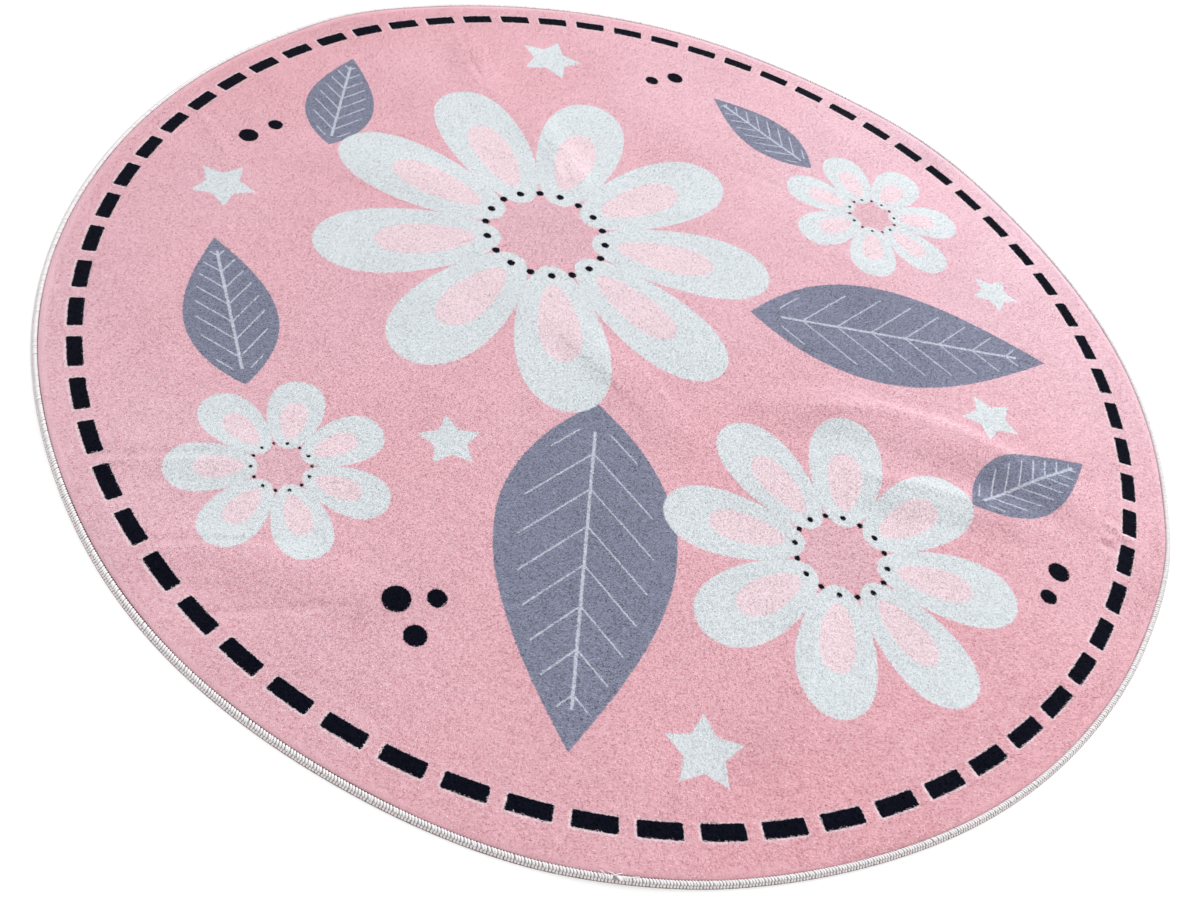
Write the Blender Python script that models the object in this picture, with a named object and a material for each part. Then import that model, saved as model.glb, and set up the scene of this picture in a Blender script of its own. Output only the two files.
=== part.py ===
"""A round short-pile kids rug, lying flat on the floor, in two pieces: the plush cloth, and the overlock yarn
that is sewn over its edge. Metres, +Z up. The floor is z = 0 and the middle of the rug is x = y = 0.

The rug isn't a perfect disc: its cut edge wavers by a few millimetres, soft folds run over it where it was
packed, and its rim lifts a little in places.
"""

import math
from collections import namedtuple

import bmesh
import bpy

RUG_ACROSS = 1.200
RUG_THICK = 0.0070  # backing and pile together

BEAD_WIDE = 0.0075  # the overlocked edge, seen from above
BEAD_HIGH = 0.0060
YARN_UNDER = 0.0013  # yarn between the floor and the cloth's bare lip
LIP_THICK = 0.0012  # the backing inside the yarn, without its pile
LIP_INSET = 0.0022  # from the rug's rim to the lip's edge
CLEARANCE = 0.0003  # between the yarn and the cloth

RIM_STEPS = 120
MIDDLE_STEPS = 30  # round the smallest ring of faces
RING_PITCH = 0.024  # between the rings of faces on the cloth
WIDEST_FACE = 0.032
FOLD_FADE = 0.3  # the share of a fold's length over which it rises at each end
SHARP_DEG = 50

# The cut edge's waviness: how many waves go round, their height, and the direction of a crest.
EdgeWave = namedtuple("EdgeWave", "count height crest_deg")
EDGE_WAVES = (
    EdgeWave(2, 0.0006, 41),
    EdgeWave(3, 0.0021, 23),
    EdgeWave(5, 0.0013, 71),
    EdgeWave(8, 0.0008, 13),
    EdgeWave(10, 0.0007, 27),
)

# Soft folds of the cloth: a raised band from one point to another, bowed to its left by `bow`.
Fold = namedtuple("Fold", "from_x from_y to_x to_y bow half_width height")
FOLDS = (
    Fold(0.120, -0.062, 0.560, -0.050, 0.046, 0.045, 0.0045),
    Fold(0.235, -0.122, 0.500, -0.078, 0.008, 0.036, 0.0032),
    Fold(-0.110, -0.015, 0.115, -0.160, 0.012, 0.036, 0.0022),
    Fold(0.240, -0.235, 0.190, -0.475, 0.028, 0.040, 0.0030),
    Fold(-0.060, -0.250, -0.165, -0.465, 0.026, 0.042, 0.0028),
    Fold(-0.430, -0.400, -0.250, -0.318, 0.006, 0.036, 0.0020),
    Fold(-0.365, -0.475, -0.120, -0.420, 0.012, 0.038, 0.0022),
    Fold(-0.350, 0.432, -0.230, 0.262, -0.004, 0.036, 0.0022),
    Fold(-0.205, 0.292, -0.100, 0.172, 0.004, 0.034, 0.0018),
    Fold(-0.480, 0.060, -0.200, 0.110, 0.020, 0.050, 0.0020),
)

# Stretches where the rim lifts off the floor: their direction, half their length round the rim, how far
# the lift reaches inwards, and how high it is.
RimLift = namedtuple("RimLift", "at_deg half_deg reach height")
RIM_LIFTS = (
    RimLift(-7, 9, 0.080, 0.0040),
    RimLift(-24, 7, 0.060, 0.0022),
    RimLift(60, 16, 0.070, 0.0026),
    RimLift(142, 11, 0.070, 0.0030),
    RimLift(218, 20, 0.090, 0.0028),
    RimLift(283, 8, 0.050, 0.0020),
)

# One corner of a cross-section: how far in from the rug's rim, and how high over the floor.
Corner = namedtuple("Corner", "inset height")

LIP_LOW = YARN_UNDER + CLEARANCE
LIP_HIGH = LIP_LOW + LIP_THICK
PILE_WALL = BEAD_WIDE + CLEARANCE
PILE_SHOULDER = PILE_WALL + 0.0047

CLOTH_RIM = (
    Corner(PILE_SHOULDER, RUG_THICK),
    Corner(PILE_WALL + 0.0014, RUG_THICK - 0.0005),
    Corner(PILE_WALL, RUG_THICK - 0.0020),
    Corner(PILE_WALL, LIP_HIGH),
    Corner(LIP_INSET, LIP_HIGH),
    Corner(LIP_INSET, LIP_LOW),
    Corner(PILE_WALL, LIP_LOW),
    Corner(PILE_WALL, 0.0006),
    Corner(PILE_SHOULDER, 0.0),
)

GROOVE_END = LIP_INSET - CLEARANCE
BINDING_SECTION = (
    Corner(BEAD_WIDE, YARN_UNDER),
    Corner(BEAD_WIDE - 0.0003, 0.0004),
    Corner(BEAD_WIDE - 0.0012, 0.0),
    Corner(0.0018, 0.0),
    Corner(0.0005, 0.0010),
    Corner(0.0, BEAD_HIGH / 2),
    Corner(0.0005, BEAD_HIGH - 0.0012),
    Corner(0.0020, BEAD_HIGH - 0.0002),
    Corner(0.0046, BEAD_HIGH),
    Corner(BEAD_WIDE - 0.0008, BEAD_HIGH - 0.0010),
    Corner(BEAD_WIDE, LIP_HIGH + CLEARANCE),
    Corner(GROOVE_END, LIP_HIGH + CLEARANCE),
    Corner(GROOVE_END, YARN_UNDER),
)


def rim_radius(angle):
    """The rug's outer radius in one direction."""
    waviness = sum(
        wave.height * math.cos(wave.count * (angle - math.radians(wave.crest_deg)))
        for wave in EDGE_WAVES
    )
    return RUG_ACROSS / 2 + waviness


def rim_centre():
    """The middle of the wavy rim's own box, which the rug is moved by so that its box is centred."""
    angles = [math.tau * i / RIM_STEPS for i in range(RIM_STEPS)]
    xs = [rim_radius(a) * math.cos(a) for a in angles]
    ys = [rim_radius(a) * math.sin(a) for a in angles]
    return (min(xs) + max(xs)) / 2, (min(ys) + max(ys)) / 2


def soft_bump(share):
    """1 on a band's middle line, falling smoothly to 0 at its edges, where share is -1 or 1."""
    return (1 - share * share) ** 2 if abs(share) < 1 else 0.0


def soft_step(share):
    share = min(max(share, 0.0), 1.0)
    return share * share * (3 - 2 * share)


def fold_height(fold, x, y):
    run_x, run_y = fold.to_x - fold.from_x, fold.to_y - fold.from_y
    length = math.hypot(run_x, run_y)
    across = (run_x * (y - fold.from_y) - run_y * (x - fold.from_x)) / length
    along = (run_x * (x - fold.from_x) + run_y * (y - fold.from_y)) / length**2
    if not 0 < along < 1:
        return 0.0
    middle = fold.bow * 4 * along * (1 - along)
    ends = soft_step(along / FOLD_FADE) * soft_step((1 - along) / FOLD_FADE)
    return fold.height * ends * soft_bump((across - middle) / fold.half_width)


def rim_lift_height(lift, x, y):
    turn = math.atan2(y, x) - math.radians(lift.at_deg)
    turn = math.atan2(math.sin(turn), math.cos(turn))
    inward = RUG_ACROSS / 2 - math.hypot(x, y)
    round_share = soft_bump(turn / math.radians(lift.half_deg))
    return lift.height * round_share * soft_step(1 - inward / lift.reach)


def floor_gap(x, y):
    """How far the cloth is off the floor here, through its folds and where its rim lifts."""
    folds = sum(fold_height(fold, x, y) for fold in FOLDS)
    return folds + sum(rim_lift_height(lift, x, y) for lift in RIM_LIFTS)


def add_row(bm, steps, radius_at, height):
    """A closed row of vertices at one height over the floor or over the fold that lifts it there."""
    centre_x, centre_y = rim_centre()
    row = []
    for i in range(steps):
        angle = math.tau * i / steps
        x = radius_at(angle) * math.cos(angle) - centre_x
        y = radius_at(angle) * math.sin(angle) - centre_y
        row.append(bm.verts.new((x, y, height + floor_gap(x, y))))
    return row


def add_rim_row(bm, corner):
    return add_row(bm, RIM_STEPS, lambda angle: rim_radius(angle) - corner.inset, corner.height)


def join_rows(bm, outer, inner):
    """Faces between two closed rows. The inner row has as many vertices as the outer one, or half."""
    halved = len(inner) < len(outer)
    for i in range(len(inner)):
        j = (i + 1) % len(inner)
        if not halved:
            bm.faces.new((outer[i], outer[j], inner[j], inner[i]))
            continue
        first, middle, last = outer[2 * i], outer[2 * i + 1], outer[2 * j]
        bm.faces.new((first, middle, inner[i]))
        bm.faces.new((middle, inner[j], inner[i]))
        bm.faces.new((middle, last, inner[j]))


def add_disc(bm, rim_row, height):
    """Fills a rim row inwards with rings of faces, halving their number where they get narrow."""
    edge = RUG_ACROSS / 2 - PILE_SHOULDER
    rings = round(edge / RING_PITCH)
    outer = rim_row
    for ring in range(rings - 1, 0, -1):
        share = ring / rings
        steps = len(outer)
        if steps > MIDDLE_STEPS and math.tau * edge * share / (steps // 2) < WIDEST_FACE:
            steps //= 2
        inner = add_row(bm, steps, lambda angle: (rim_radius(angle) - PILE_SHOULDER) * share, height)
        join_rows(bm, outer, inner)
        outer = inner
    bm.faces.new(outer)


def rug_cloth(bm):
    rows = [add_rim_row(bm, corner) for corner in CLOTH_RIM]
    for upper, lower in zip(rows, rows[1:]):
        join_rows(bm, upper, lower)
    add_disc(bm, rows[0], CLOTH_RIM[0].height)
    add_disc(bm, rows[-1], CLOTH_RIM[-1].height)


def edge_binding(bm):
    rows = [add_rim_row(bm, corner) for corner in BINDING_SECTION]
    for i, row in enumerate(rows):
        join_rows(bm, row, rows[(i + 1) % len(rows)])


def material(name, colour, roughness):
    made = bpy.data.materials.new(name)
    made.use_nodes = True
    shader = made.node_tree.nodes["Principled BSDF"]
    shader.inputs["Base Color"].default_value = (*colour, 1.0)
    shader.inputs["Roughness"].default_value = roughness
    shader.inputs["Metallic"].default_value = 0.0
    return made


def add_piece(name, shape, look):
    """One closed body, made by a function that fills a bmesh, as an object with its own material."""
    bm = bmesh.new()
    shape(bm)
    bmesh.ops.recalc_face_normals(bm, faces=bm.faces)
    mesh = bpy.data.meshes.new(name)
    bm.to_mesh(mesh)
    bm.free()
    mesh.shade_smooth()
    mesh.set_sharp_from_angle(angle=math.radians(SHARP_DEG))
    mesh.materials.append(look)
    piece = bpy.data.objects.new(name, mesh)
    bpy.context.scene.collection.objects.link(piece)
    return piece


for old in list(bpy.data.objects):
    bpy.data.objects.remove(old)

add_piece("rug_cloth", rug_cloth, material("pink_plush", (0.76, 0.46, 0.52), 0.95))
add_piece("edge_binding", edge_binding, material("white_yarn", (0.82, 0.80, 0.78), 0.85))
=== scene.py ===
"""The looks of a round short-pile kids rug, lying on a pale floor. Metres, +Z up, and the rug's middle is at
x = y = 0.

The cloth is a plush sheet under real pile, short fibres that lean with the nap. Its edge is overlocked, with
yarn that crosses the bead and a chain along its outside. The print is one set of formulas: it colours the
sheet through nodes, and each fibre by where the print falls near its tip. Its paler ground towards the window
is painted light, the fibres' colours also carry painted light and shade, and the yarn between the stitches
is darker as painted shade.
"""

import math
from collections import namedtuple

import bpy
import numpy as np
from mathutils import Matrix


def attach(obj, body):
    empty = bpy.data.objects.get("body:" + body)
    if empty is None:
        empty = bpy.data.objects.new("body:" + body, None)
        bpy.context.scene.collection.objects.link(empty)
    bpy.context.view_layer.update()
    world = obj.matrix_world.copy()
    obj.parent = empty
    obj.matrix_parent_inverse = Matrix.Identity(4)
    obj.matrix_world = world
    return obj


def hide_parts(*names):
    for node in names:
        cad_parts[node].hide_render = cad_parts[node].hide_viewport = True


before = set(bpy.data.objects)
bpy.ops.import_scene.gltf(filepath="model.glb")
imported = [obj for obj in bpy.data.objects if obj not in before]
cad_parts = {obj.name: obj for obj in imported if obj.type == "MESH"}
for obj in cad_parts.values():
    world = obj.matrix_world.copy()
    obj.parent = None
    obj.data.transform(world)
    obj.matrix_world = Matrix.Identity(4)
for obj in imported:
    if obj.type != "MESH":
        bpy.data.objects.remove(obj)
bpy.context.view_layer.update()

# The rug's shape. It is that of its solids, apart from a narrower bead and a wider, lower edge of the pile.

RUG_ACROSS = 1.200
BEAD_WIDE = 0.0060  # less than the solid's, because the pile crowds over the yarn
YARN_UNDER = 0.0013
LIP_THICK = 0.0012
LIP_INSET = 0.0022
CLEARANCE = 0.0003
OUTLINE_STEPS = 120
FOLD_FADE = 0.3

LIP_LOW = YARN_UNDER + CLEARANCE
LIP_HIGH = LIP_LOW + LIP_THICK
PILE_WALL = BEAD_WIDE + CLEARANCE
PILE_SHOULDER = PILE_WALL + 0.0056

# The groove between yarn and pile is wider about one direction, and ripples all the way round.
GROOVE_AT_DEG = 246
GROOVE_HALF_DEG = 62
GROOVE_MORE = 0.0006
GROOVE_RIPPLE = 0.0002

# The binding is wider about the far side: its inner part grows by this share of its distance from the lip.
WIDER_AT_DEG = 85
WIDER_HALF_DEG = 130
WIDER_SHARE = 0.42

EdgeWave = namedtuple("EdgeWave", "count height crest_deg")
EDGE_WAVES = (
    EdgeWave(2, 0.0006, 41),
    EdgeWave(3, 0.0021, 23),
    EdgeWave(5, 0.0013, 71),
    EdgeWave(8, 0.0008, 13),
    EdgeWave(10, 0.0007, 27),
)

Fold = namedtuple("Fold", "from_x from_y to_x to_y bow half_width height")
FOLDS = (
    Fold(0.120, -0.062, 0.560, -0.050, 0.046, 0.045, 0.0045),
    Fold(0.235, -0.122, 0.500, -0.078, 0.008, 0.036, 0.0032),
    Fold(-0.110, -0.015, 0.115, -0.160, 0.012, 0.036, 0.0022),
    Fold(0.240, -0.235, 0.190, -0.475, 0.028, 0.040, 0.0030),
    Fold(-0.060, -0.250, -0.165, -0.465, 0.026, 0.042, 0.0028),
    Fold(-0.430, -0.400, -0.250, -0.318, 0.006, 0.036, 0.0020),
    Fold(-0.365, -0.475, -0.120, -0.420, 0.012, 0.038, 0.0022),
    Fold(-0.350, 0.432, -0.230, 0.262, -0.004, 0.036, 0.0022),
    Fold(-0.205, 0.292, -0.100, 0.172, 0.004, 0.034, 0.0018),
    Fold(-0.480, 0.060, -0.200, 0.110, 0.020, 0.050, 0.0020),
)

RimLift = namedtuple("RimLift", "at_deg half_deg reach height")
RIM_LIFTS = (
    RimLift(-7, 9, 0.080, 0.0040),
    RimLift(-24, 7, 0.060, 0.0022),
    RimLift(60, 16, 0.070, 0.0026),
    RimLift(142, 11, 0.070, 0.0030),
    RimLift(218, 20, 0.090, 0.0028),
    RimLift(283, 8, 0.050, 0.0020),
)

# Sharper creases, too fine for the solids. A negative height is a pressed line.
CREASES = (
    Fold(0.172, -0.063, 0.489, -0.029, 0.058, 0.015, 0.0015),
    Fold(0.240, -0.100, 0.430, -0.076, 0.004, 0.012, 0.0011),
    Fold(-0.345, 0.420, -0.245, 0.275, 0.000, 0.006, -0.0010),
    Fold(-0.200, 0.275, -0.115, 0.185, 0.003, 0.006, -0.0008),
    Fold(-0.425, -0.402, -0.280, -0.328, 0.004, 0.007, -0.0010),
    Fold(-0.340, -0.462, -0.205, -0.398, 0.004, 0.006, -0.0008),
    Fold(-0.270, -0.512, -0.120, -0.432, 0.006, 0.007, -0.0010),
    Fold(0.010, -0.045, 0.100, -0.140, 0.004, 0.008, 0.0009),
    Fold(-0.080, -0.045, 0.060, -0.130, 0.006, 0.008, 0.0007),
    Fold(0.510, -0.040, 0.565, -0.070, 0.006, 0.008, 0.0013),
    Fold(0.515, -0.075, 0.570, -0.052, 0.004, 0.007, 0.0011),
    Fold(0.505, -0.060, 0.570, -0.088, -0.004, 0.007, -0.0010),
    Fold(0.245, -0.290, 0.230, -0.420, 0.010, 0.010, 0.0010),
    Fold(0.020, 0.330, 0.150, 0.318, 0.004, 0.006, -0.0007),
    Fold(-0.560, 0.100, -0.470, 0.020, 0.006, 0.010, 0.0009),
)


def rim_radius(angle):
    waves = [w.height * np.cos(w.count * (angle - math.radians(w.crest_deg))) for w in EDGE_WAVES]
    return RUG_ACROSS / 2 + sum(waves)


def groove_wide(angle):
    """How much wider the groove between the yarn and the pile is than at its narrowest."""
    turn = angle % math.tau - math.radians(GROOVE_AT_DEG)
    wide = GROOVE_MORE * soft_bump(turn / math.radians(GROOVE_HALF_DEG))
    return wide + GROOVE_RIPPLE * (1 + np.sin(23 * angle) * np.sin(9 * angle + 1))


def widened(inset, angle):
    """An inset, moved inwards where the binding is wider. One outside the lip's edge stays."""
    widest_at = math.radians(WIDER_AT_DEG)
    turn = np.arctan2(np.sin(angle - widest_at), np.cos(angle - widest_at))
    bump = soft_bump(turn / math.radians(WIDER_HALF_DEG))
    return inset + max(inset - LIP_INSET, 0.0) * WIDER_SHARE * bump


def pile_wall(angle):
    """How far in from the rim the pile starts."""
    return widened(PILE_WALL, angle) + groove_wide(angle)


def rim_centre():
    """The middle of the wavy rim's own box, which the rug is moved by."""
    angles = math.tau * np.arange(OUTLINE_STEPS) / OUTLINE_STEPS
    xs, ys = rim_radius(angles) * np.cos(angles), rim_radius(angles) * np.sin(angles)
    return (xs.min() + xs.max()) / 2, (ys.min() + ys.max()) / 2


CENTRE_X, CENTRE_Y = rim_centre()


def soft_bump(share):
    return np.clip(1 - share * share, 0, None) ** 2


def soft_step(share):
    share = np.clip(share, 0, 1)
    return share * share * (3 - 2 * share)


def fold_height(fold, x, y):
    run_x, run_y = fold.to_x - fold.from_x, fold.to_y - fold.from_y
    length = math.hypot(run_x, run_y)
    across = (run_x * (y - fold.from_y) - run_y * (x - fold.from_x)) / length
    along = np.clip((run_x * (x - fold.from_x) + run_y * (y - fold.from_y)) / length**2, 0, 1)
    middle = fold.bow * 4 * along * (1 - along)
    ends = soft_step(along / FOLD_FADE) * soft_step((1 - along) / FOLD_FADE)
    return fold.height * ends * soft_bump((across - middle) / fold.half_width)


def rim_lift_height(lift, x, y):
    turn = np.arctan2(y, x) - math.radians(lift.at_deg)
    turn = np.arctan2(np.sin(turn), np.cos(turn))
    inward = RUG_ACROSS / 2 - np.hypot(x, y)
    return lift.height * soft_bump(turn / math.radians(lift.half_deg)) * soft_step(1 - inward / lift.reach)


def floor_gap(x, y):
    """How far the cloth is off the floor, through its folds and where its rim lifts."""
    return sum(fold_height(f, x, y) for f in FOLDS) + sum(rim_lift_height(r, x, y) for r in RIM_LIFTS)


def rim_points(angle, inset, height):
    """Points at a distance in from the rim and a height over the cloth's own floor gap."""
    radius = rim_radius(angle) - inset
    x = radius * np.cos(angle) - CENTRE_X
    y = radius * np.sin(angle) - CENTRE_Y
    return np.stack([x, y, height + floor_gap(x, y)], axis=-1)


def soft_noise(x, y, pitch, seed):
    """Smooth noise from -1 to 1, with lumps about a pitch across."""
    lattice = np.random.default_rng(seed).uniform(-1, 1, (256, 256))
    column, row = np.floor(x / pitch).astype(int), np.floor(y / pitch).astype(int)
    right, up = soft_step(x / pitch - column), soft_step(y / pitch - row)

    def corner(i, j):
        return lattice[(column + i) % 256, (row + j) % 256]

    low = corner(0, 0) * (1 - right) + corner(1, 0) * right
    high = corner(0, 1) * (1 - right) + corner(1, 1) * right
    return low * (1 - up) + high * up


# Formulas that work on numpy arrays and, through Math nodes, on a material's coordinates

ARRAY_STEPS = {
    "ADD": np.add,
    "SUBTRACT": np.subtract,
    "MULTIPLY": np.multiply,
    "DIVIDE": np.divide,
    "SINE": np.sin,
    "COSINE": np.cos,
    "ARCTAN2": np.arctan2,
    "SQRT": np.sqrt,
    "ABSOLUTE": np.abs,
    "MINIMUM": np.minimum,
    "MAXIMUM": np.maximum,
    "FRACT": lambda value: value - np.floor(value),
}


def calc(step, *values):
    """One step of a formula: at once on arrays, or as a Math node where a value is a Field."""
    fields = [value for value in values if isinstance(value, Field)]
    if not fields:
        return ARRAY_STEPS[step](*values)
    node = fields[0].socket.id_data.nodes.new("ShaderNodeMath")
    node.operation = step
    for socket, value in zip(node.inputs, values):
        if isinstance(value, Field):
            node.id_data.links.new(value.socket, socket)
        else:
            socket.default_value = value
    return Field(node.outputs[0])


class Field:
    """A number that varies over the cloth, as the output of a node."""

    def __init__(self, socket):
        self.socket = socket

    def __add__(self, other):
        return calc("ADD", self, other)

    def __sub__(self, other):
        return calc("SUBTRACT", self, other)

    def __rsub__(self, other):
        return calc("SUBTRACT", other, self)

    def __mul__(self, other):
        return calc("MULTIPLY", self, other)

    def __truediv__(self, other):
        return calc("DIVIDE", self, other)

    __radd__ = __add__
    __rmul__ = __mul__


def length_of(x, y):
    return calc("SQRT", x * x + y * y)


def joined(distances):
    """The distance to the nearest of several shapes. It is negative inside a shape."""
    nearest = distances[0]
    for distance in distances[1:]:
        nearest = calc("MINIMUM", nearest, distance)
    return nearest


def cover(distance, softness=0.0007):
    """1 inside a shape and 0 outside it, with a soft change at its edge."""
    share = 0.5 - distance / softness
    return calc("MINIMUM", calc("MAXIMUM", share, 0.0), 1.0)


def nearest_spoke(angle, count):
    """The angle from the nearest of `count` evenly spread directions."""
    return (calc("FRACT", angle * (count / math.tau) + 0.5) - 0.5) * (math.tau / count)


# The print

SHEET_COLOURS = {
    "pink": (224, 173, 182),
    # painted light: a paler pink, mixed in more towards the window
    "pale pink": (225, 194, 205),
    "grey": (133, 136, 156),
    "vein": (196, 200, 212),
    "white": (216, 221, 224),
    "blush": (231, 212, 218),
    "rose": (222, 184, 194),
    "halo": (232, 208, 214),
    "navy": (14, 16, 28),
}

PRINT_X = -0.0045
PRINT_Y = 0.0022
DASHES = 67
DASH_RING = 0.5585
DASH_LONG = 0.0382
DASH_WIDE = 0.0147
DASH_CORNER = 0.0020
DASH_TURN_DEG = -175.58
HALO_WIDE = 0.0013
HALO_SHIFT = 0.0007  # the pale foot of the pile shows more on the dashes' near side

Daisy = namedtuple("Daisy", "x y reach petals turn_deg")
DAISIES = (
    Daisy(-0.125, 0.095, 0.262, 9, 12),
    Daisy(0.262, -0.205, 0.176, 8, 5),
    Daisy(0.235, 0.330, 0.112, 7, 20),
    Daisy(-0.255, -0.330, 0.104, 7, 0),
)

Leaf = namedtuple("Leaf", "x y heading_deg length width")
LEAVES = (
    Leaf(-0.005, -0.125, -79, 0.380, 0.170),
    Leaf(0.120, 0.085, 14, 0.350, 0.150),
    Leaf(-0.395, 0.115, 103, 0.175, 0.078),
    Leaf(0.385, -0.085, 44, 0.165, 0.076),
    Leaf(-0.325, -0.255, 124, 0.205, 0.090),
    Leaf(0.148, 0.385, 152, 0.165, 0.072),
)

Star = namedtuple("Star", "x y reach turn_deg")
STARS = (
    Star(-0.215, 0.425, 0.042, 20),
    Star(0.400, 0.050, 0.033, 55),
    Star(-0.468, -0.005, 0.036, 8),
    Star(0.175, -0.455, 0.036, 30),
    Star(-0.125, -0.235, 0.032, 44),
    Star(0.395, 0.262, 0.030, 0),
)

Berry = namedtuple("Berry", "x y reach")
BERRIES = (
    Berry(-0.110, -0.420, 0.0130),
    Berry(-0.083, -0.446, 0.0105),
    Berry(-0.078, -0.405, 0.0090),
    Berry(-0.055, 0.478, 0.0105),
    Berry(-0.082, 0.455, 0.0085),
    Berry(0.478, -0.130, 0.0110),
    Berry(0.468, -0.165, 0.0085),
    Berry(-0.480, 0.085, 0.0110),
    Berry(-0.462, 0.118, 0.0085),
)


def linear(colour):
    """An 8-bit screen colour as the light that a material scatters."""
    parts = [part / 255 for part in colour]
    return tuple(p / 12.92 if p <= 0.04045 else ((p + 0.055) / 1.055) ** 2.4 for p in parts)


def petal_shape(along, aside, middle, half_length, half_width):
    """An egg whose wide end points outwards."""
    stretch = (along - middle) / half_length
    narrow = aside * (1.16 - stretch * 0.26)
    return (length_of(stretch, narrow / half_width) - 1.0) * half_width


def daisy_shapes(daisy, x, y):
    dx, dy = x - daisy.x, y - daisy.y
    reach = length_of(dx, dy)
    angle = calc("ARCTAN2", dy, dx) - math.radians(daisy.turn_deg)
    turn = nearest_spoke(angle, daisy.petals)
    along, aside = reach * calc("COSINE", turn), reach * calc("SINE", turn)
    width = 0.62 * daisy.reach * math.tan(math.pi / daisy.petals) * 0.97
    petals = petal_shape(along, aside, 0.60 * daisy.reach, 0.40 * daisy.reach, width)
    blush = petal_shape(along, aside, 0.53 * daisy.reach, 0.215 * daisy.reach, 0.46 * width)
    core = reach - 0.205 * daisy.reach
    seed_turn = nearest_spoke(angle, 2 * daisy.petals)
    seed_along = reach * calc("COSINE", seed_turn) - 0.262 * daisy.reach
    seeds = length_of(seed_along, reach * calc("SINE", seed_turn)) - 0.017 * daisy.reach
    return petals, blush, core, seeds


def leaf_shapes(leaf, x, y):
    heading = math.radians(leaf.heading_deg)
    dx, dy = x - leaf.x, y - leaf.y
    along = dx * math.cos(heading) + dy * math.sin(heading)
    aside = calc("ABSOLUTE", dy * math.cos(heading) - dx * math.sin(heading))
    share = along * (2 / leaf.length) - 1.0
    half_width = (1.0 - share * share) * (1.0 - share * 0.28) * (leaf.width / 2)
    blade = calc("MAXIMUM", aside - half_width, calc("ABSOLUTE", share) - 1.0)
    pitch = 0.115 * leaf.length
    ribs = calc("ABSOLUTE", calc("FRACT", (along - aside * 1.05) / pitch) - 0.5) * pitch - 0.0011
    inner = calc("MAXIMUM", aside - half_width * 0.74, calc("ABSOLUTE", share) - 0.80)
    veins = calc("MAXIMUM", calc("MINIMUM", aside - 0.0015, ribs), inner)
    return blade, veins


def star_shape(star, x, y):
    dx, dy = x - star.x, y - star.y
    reach = length_of(dx, dy)
    turn = calc("ARCTAN2", dy, dx) - math.radians(star.turn_deg)
    spoke = calc("ABSOLUTE", nearest_spoke(turn, 5))
    notch = 0.52 * star.reach
    side_x = notch * math.cos(math.pi / 5) - star.reach
    side_y = notch * math.sin(math.pi / 5)
    side = math.hypot(side_x, side_y)
    along, aside = reach * calc("COSINE", spoke), reach * calc("SINE", spoke)
    return ((along - star.reach) * side_y - aside * side_x) / side


def dash_shape(x, y):
    dx, dy = x - PRINT_X, y - PRINT_Y
    reach = length_of(dx, dy)
    turn = nearest_spoke(calc("ARCTAN2", dy, dx) - math.radians(DASH_TURN_DEG), DASHES)
    along = calc("ABSOLUTE", turn * DASH_RING) - (DASH_LONG / 2 - DASH_CORNER)
    across = calc("ABSOLUTE", reach - DASH_RING) - (DASH_WIDE / 2 - DASH_CORNER)
    corner = length_of(calc("MAXIMUM", along, 0.0), calc("MAXIMUM", across, 0.0))
    return corner + calc("MINIMUM", calc("MAXIMUM", along, across), 0.0) - DASH_CORNER


def painted_light_share(x, y):
    """How far the ground is painted paler, as painted light that grows towards the window and varies in wide
    patches.
    """
    towards = y * 0.40 + x * 0.10 + x * y * 1.80
    patches = calc("SINE", x * 17.0 + y * 6.0) * calc("SINE", y * 14.0 - x * 7.0 + 1.0)
    share = towards + patches * 0.08 + 0.42
    return calc("MINIMUM", calc("MAXIMUM", share, 0.0), 1.0)


def print_layers(x, y):
    """The print's colours, the lowest first, each with how far it covers what is under it."""
    daisies = [daisy_shapes(daisy, x, y) for daisy in DAISIES]
    petals, blush, core, seeds = (joined(shapes) for shapes in zip(*daisies))
    blades, veins = (joined(shapes) for shapes in zip(*(leaf_shapes(leaf, x, y) for leaf in LEAVES)))
    stars = joined([star_shape(star, x, y) for star in STARS])
    berries = joined([length_of(x - b.x, y - b.y) - b.reach for b in BERRIES])
    dashes = dash_shape(x, y)
    return (
        # painted light: the ground is painted paler towards the window and in wide patches
        ("pale pink", painted_light_share(x, y)),
        ("grey", cover(blades)),
        ("vein", cover(veins)),
        ("white", cover(calc("MINIMUM", petals, stars))),
        ("blush", cover(blush)),
        ("rose", cover(core)),
        ("halo", cover(dash_shape(x + HALO_SHIFT, y + HALO_SHIFT) - HALO_WIDE, 0.0016)),
        ("navy", cover(joined([seeds, berries, dashes]))),
    )


def printed_colours(x, y):
    """The print's colour at each of many places, as an array with a row for each."""
    colour = np.tile(linear(SHEET_COLOURS["pink"]), (len(x), 1))
    for name, share in print_layers(x, y):
        colour += (np.array(linear(SHEET_COLOURS[name])) - colour) * share[:, None]
    return colour


# Materials


def add_node(tree, kind, settings=(), **inputs):
    """A node of this kind. Its inputs are numbers, colours, sockets or Fields, named with _ for a space."""
    node = tree.nodes.new(kind)
    for name, value in dict(settings).items():
        setattr(node, name, value)
    for name, value in inputs.items():
        socket = node.inputs[name.replace("_", " ")]
        if isinstance(value, Field):
            value = value.socket
        if isinstance(value, bpy.types.NodeSocket):
            tree.links.new(value, socket)
        else:
            socket.default_value = value
    return node


def new_material(name):
    """A material with nothing but its output and a Principled shader, and its tree and shader."""
    material = bpy.data.materials.new(name)
    material.use_nodes = True
    tree = material.node_tree
    return material, tree, tree.nodes["Principled BSDF"]


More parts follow.
